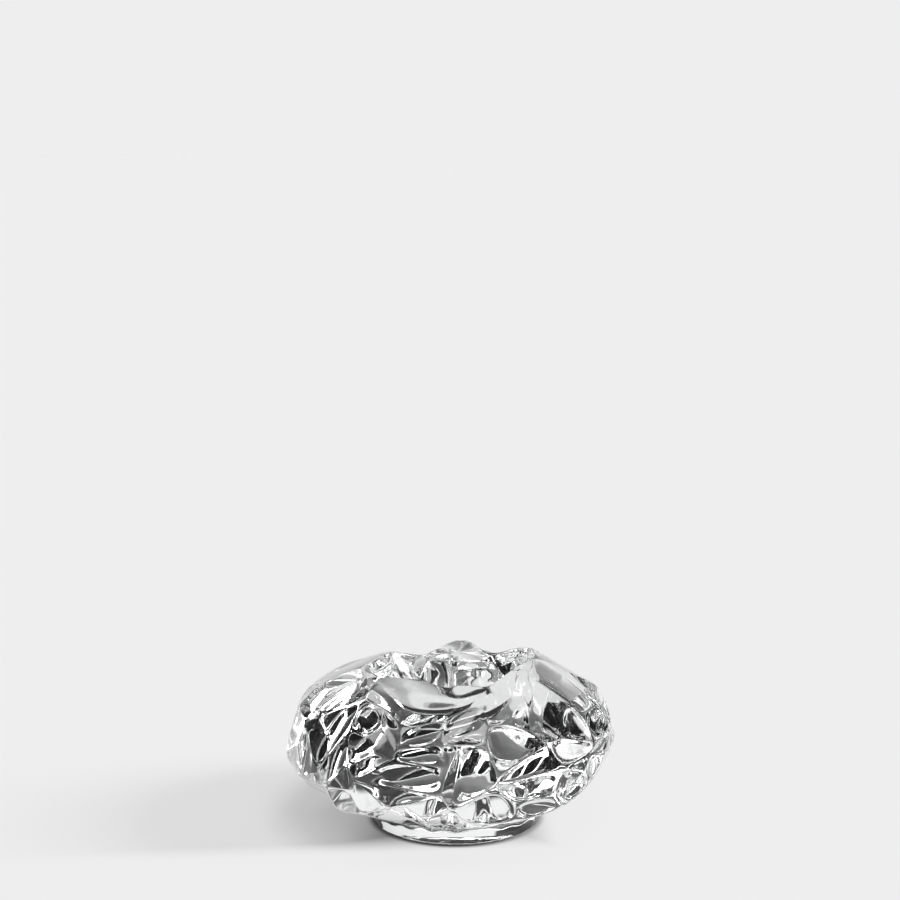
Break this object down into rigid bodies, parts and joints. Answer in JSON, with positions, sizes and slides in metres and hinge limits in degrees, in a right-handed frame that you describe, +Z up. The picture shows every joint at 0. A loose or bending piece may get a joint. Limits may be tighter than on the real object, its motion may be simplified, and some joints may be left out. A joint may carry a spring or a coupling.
{
  "type": "votive candle holder",
  "caption": "Clear crystal candle holder: ice-cut rounded body on a plain round foot, with a tapered well for a tealight.",
  "frame": {"origin": "centre of the foot's flat underside", "axes": "+Z up out of the well, the pictured front faces -Y, +X to the right as seen from the front"},
  "size_m": [0.1107, 0.1116, 0.0573],
  "materials": {
    "crystal": "clear fire-polished crystal"
  },
  "bodies": {
    "root": {"crystal_body": "crystal"}
  },
  "joints": []
}
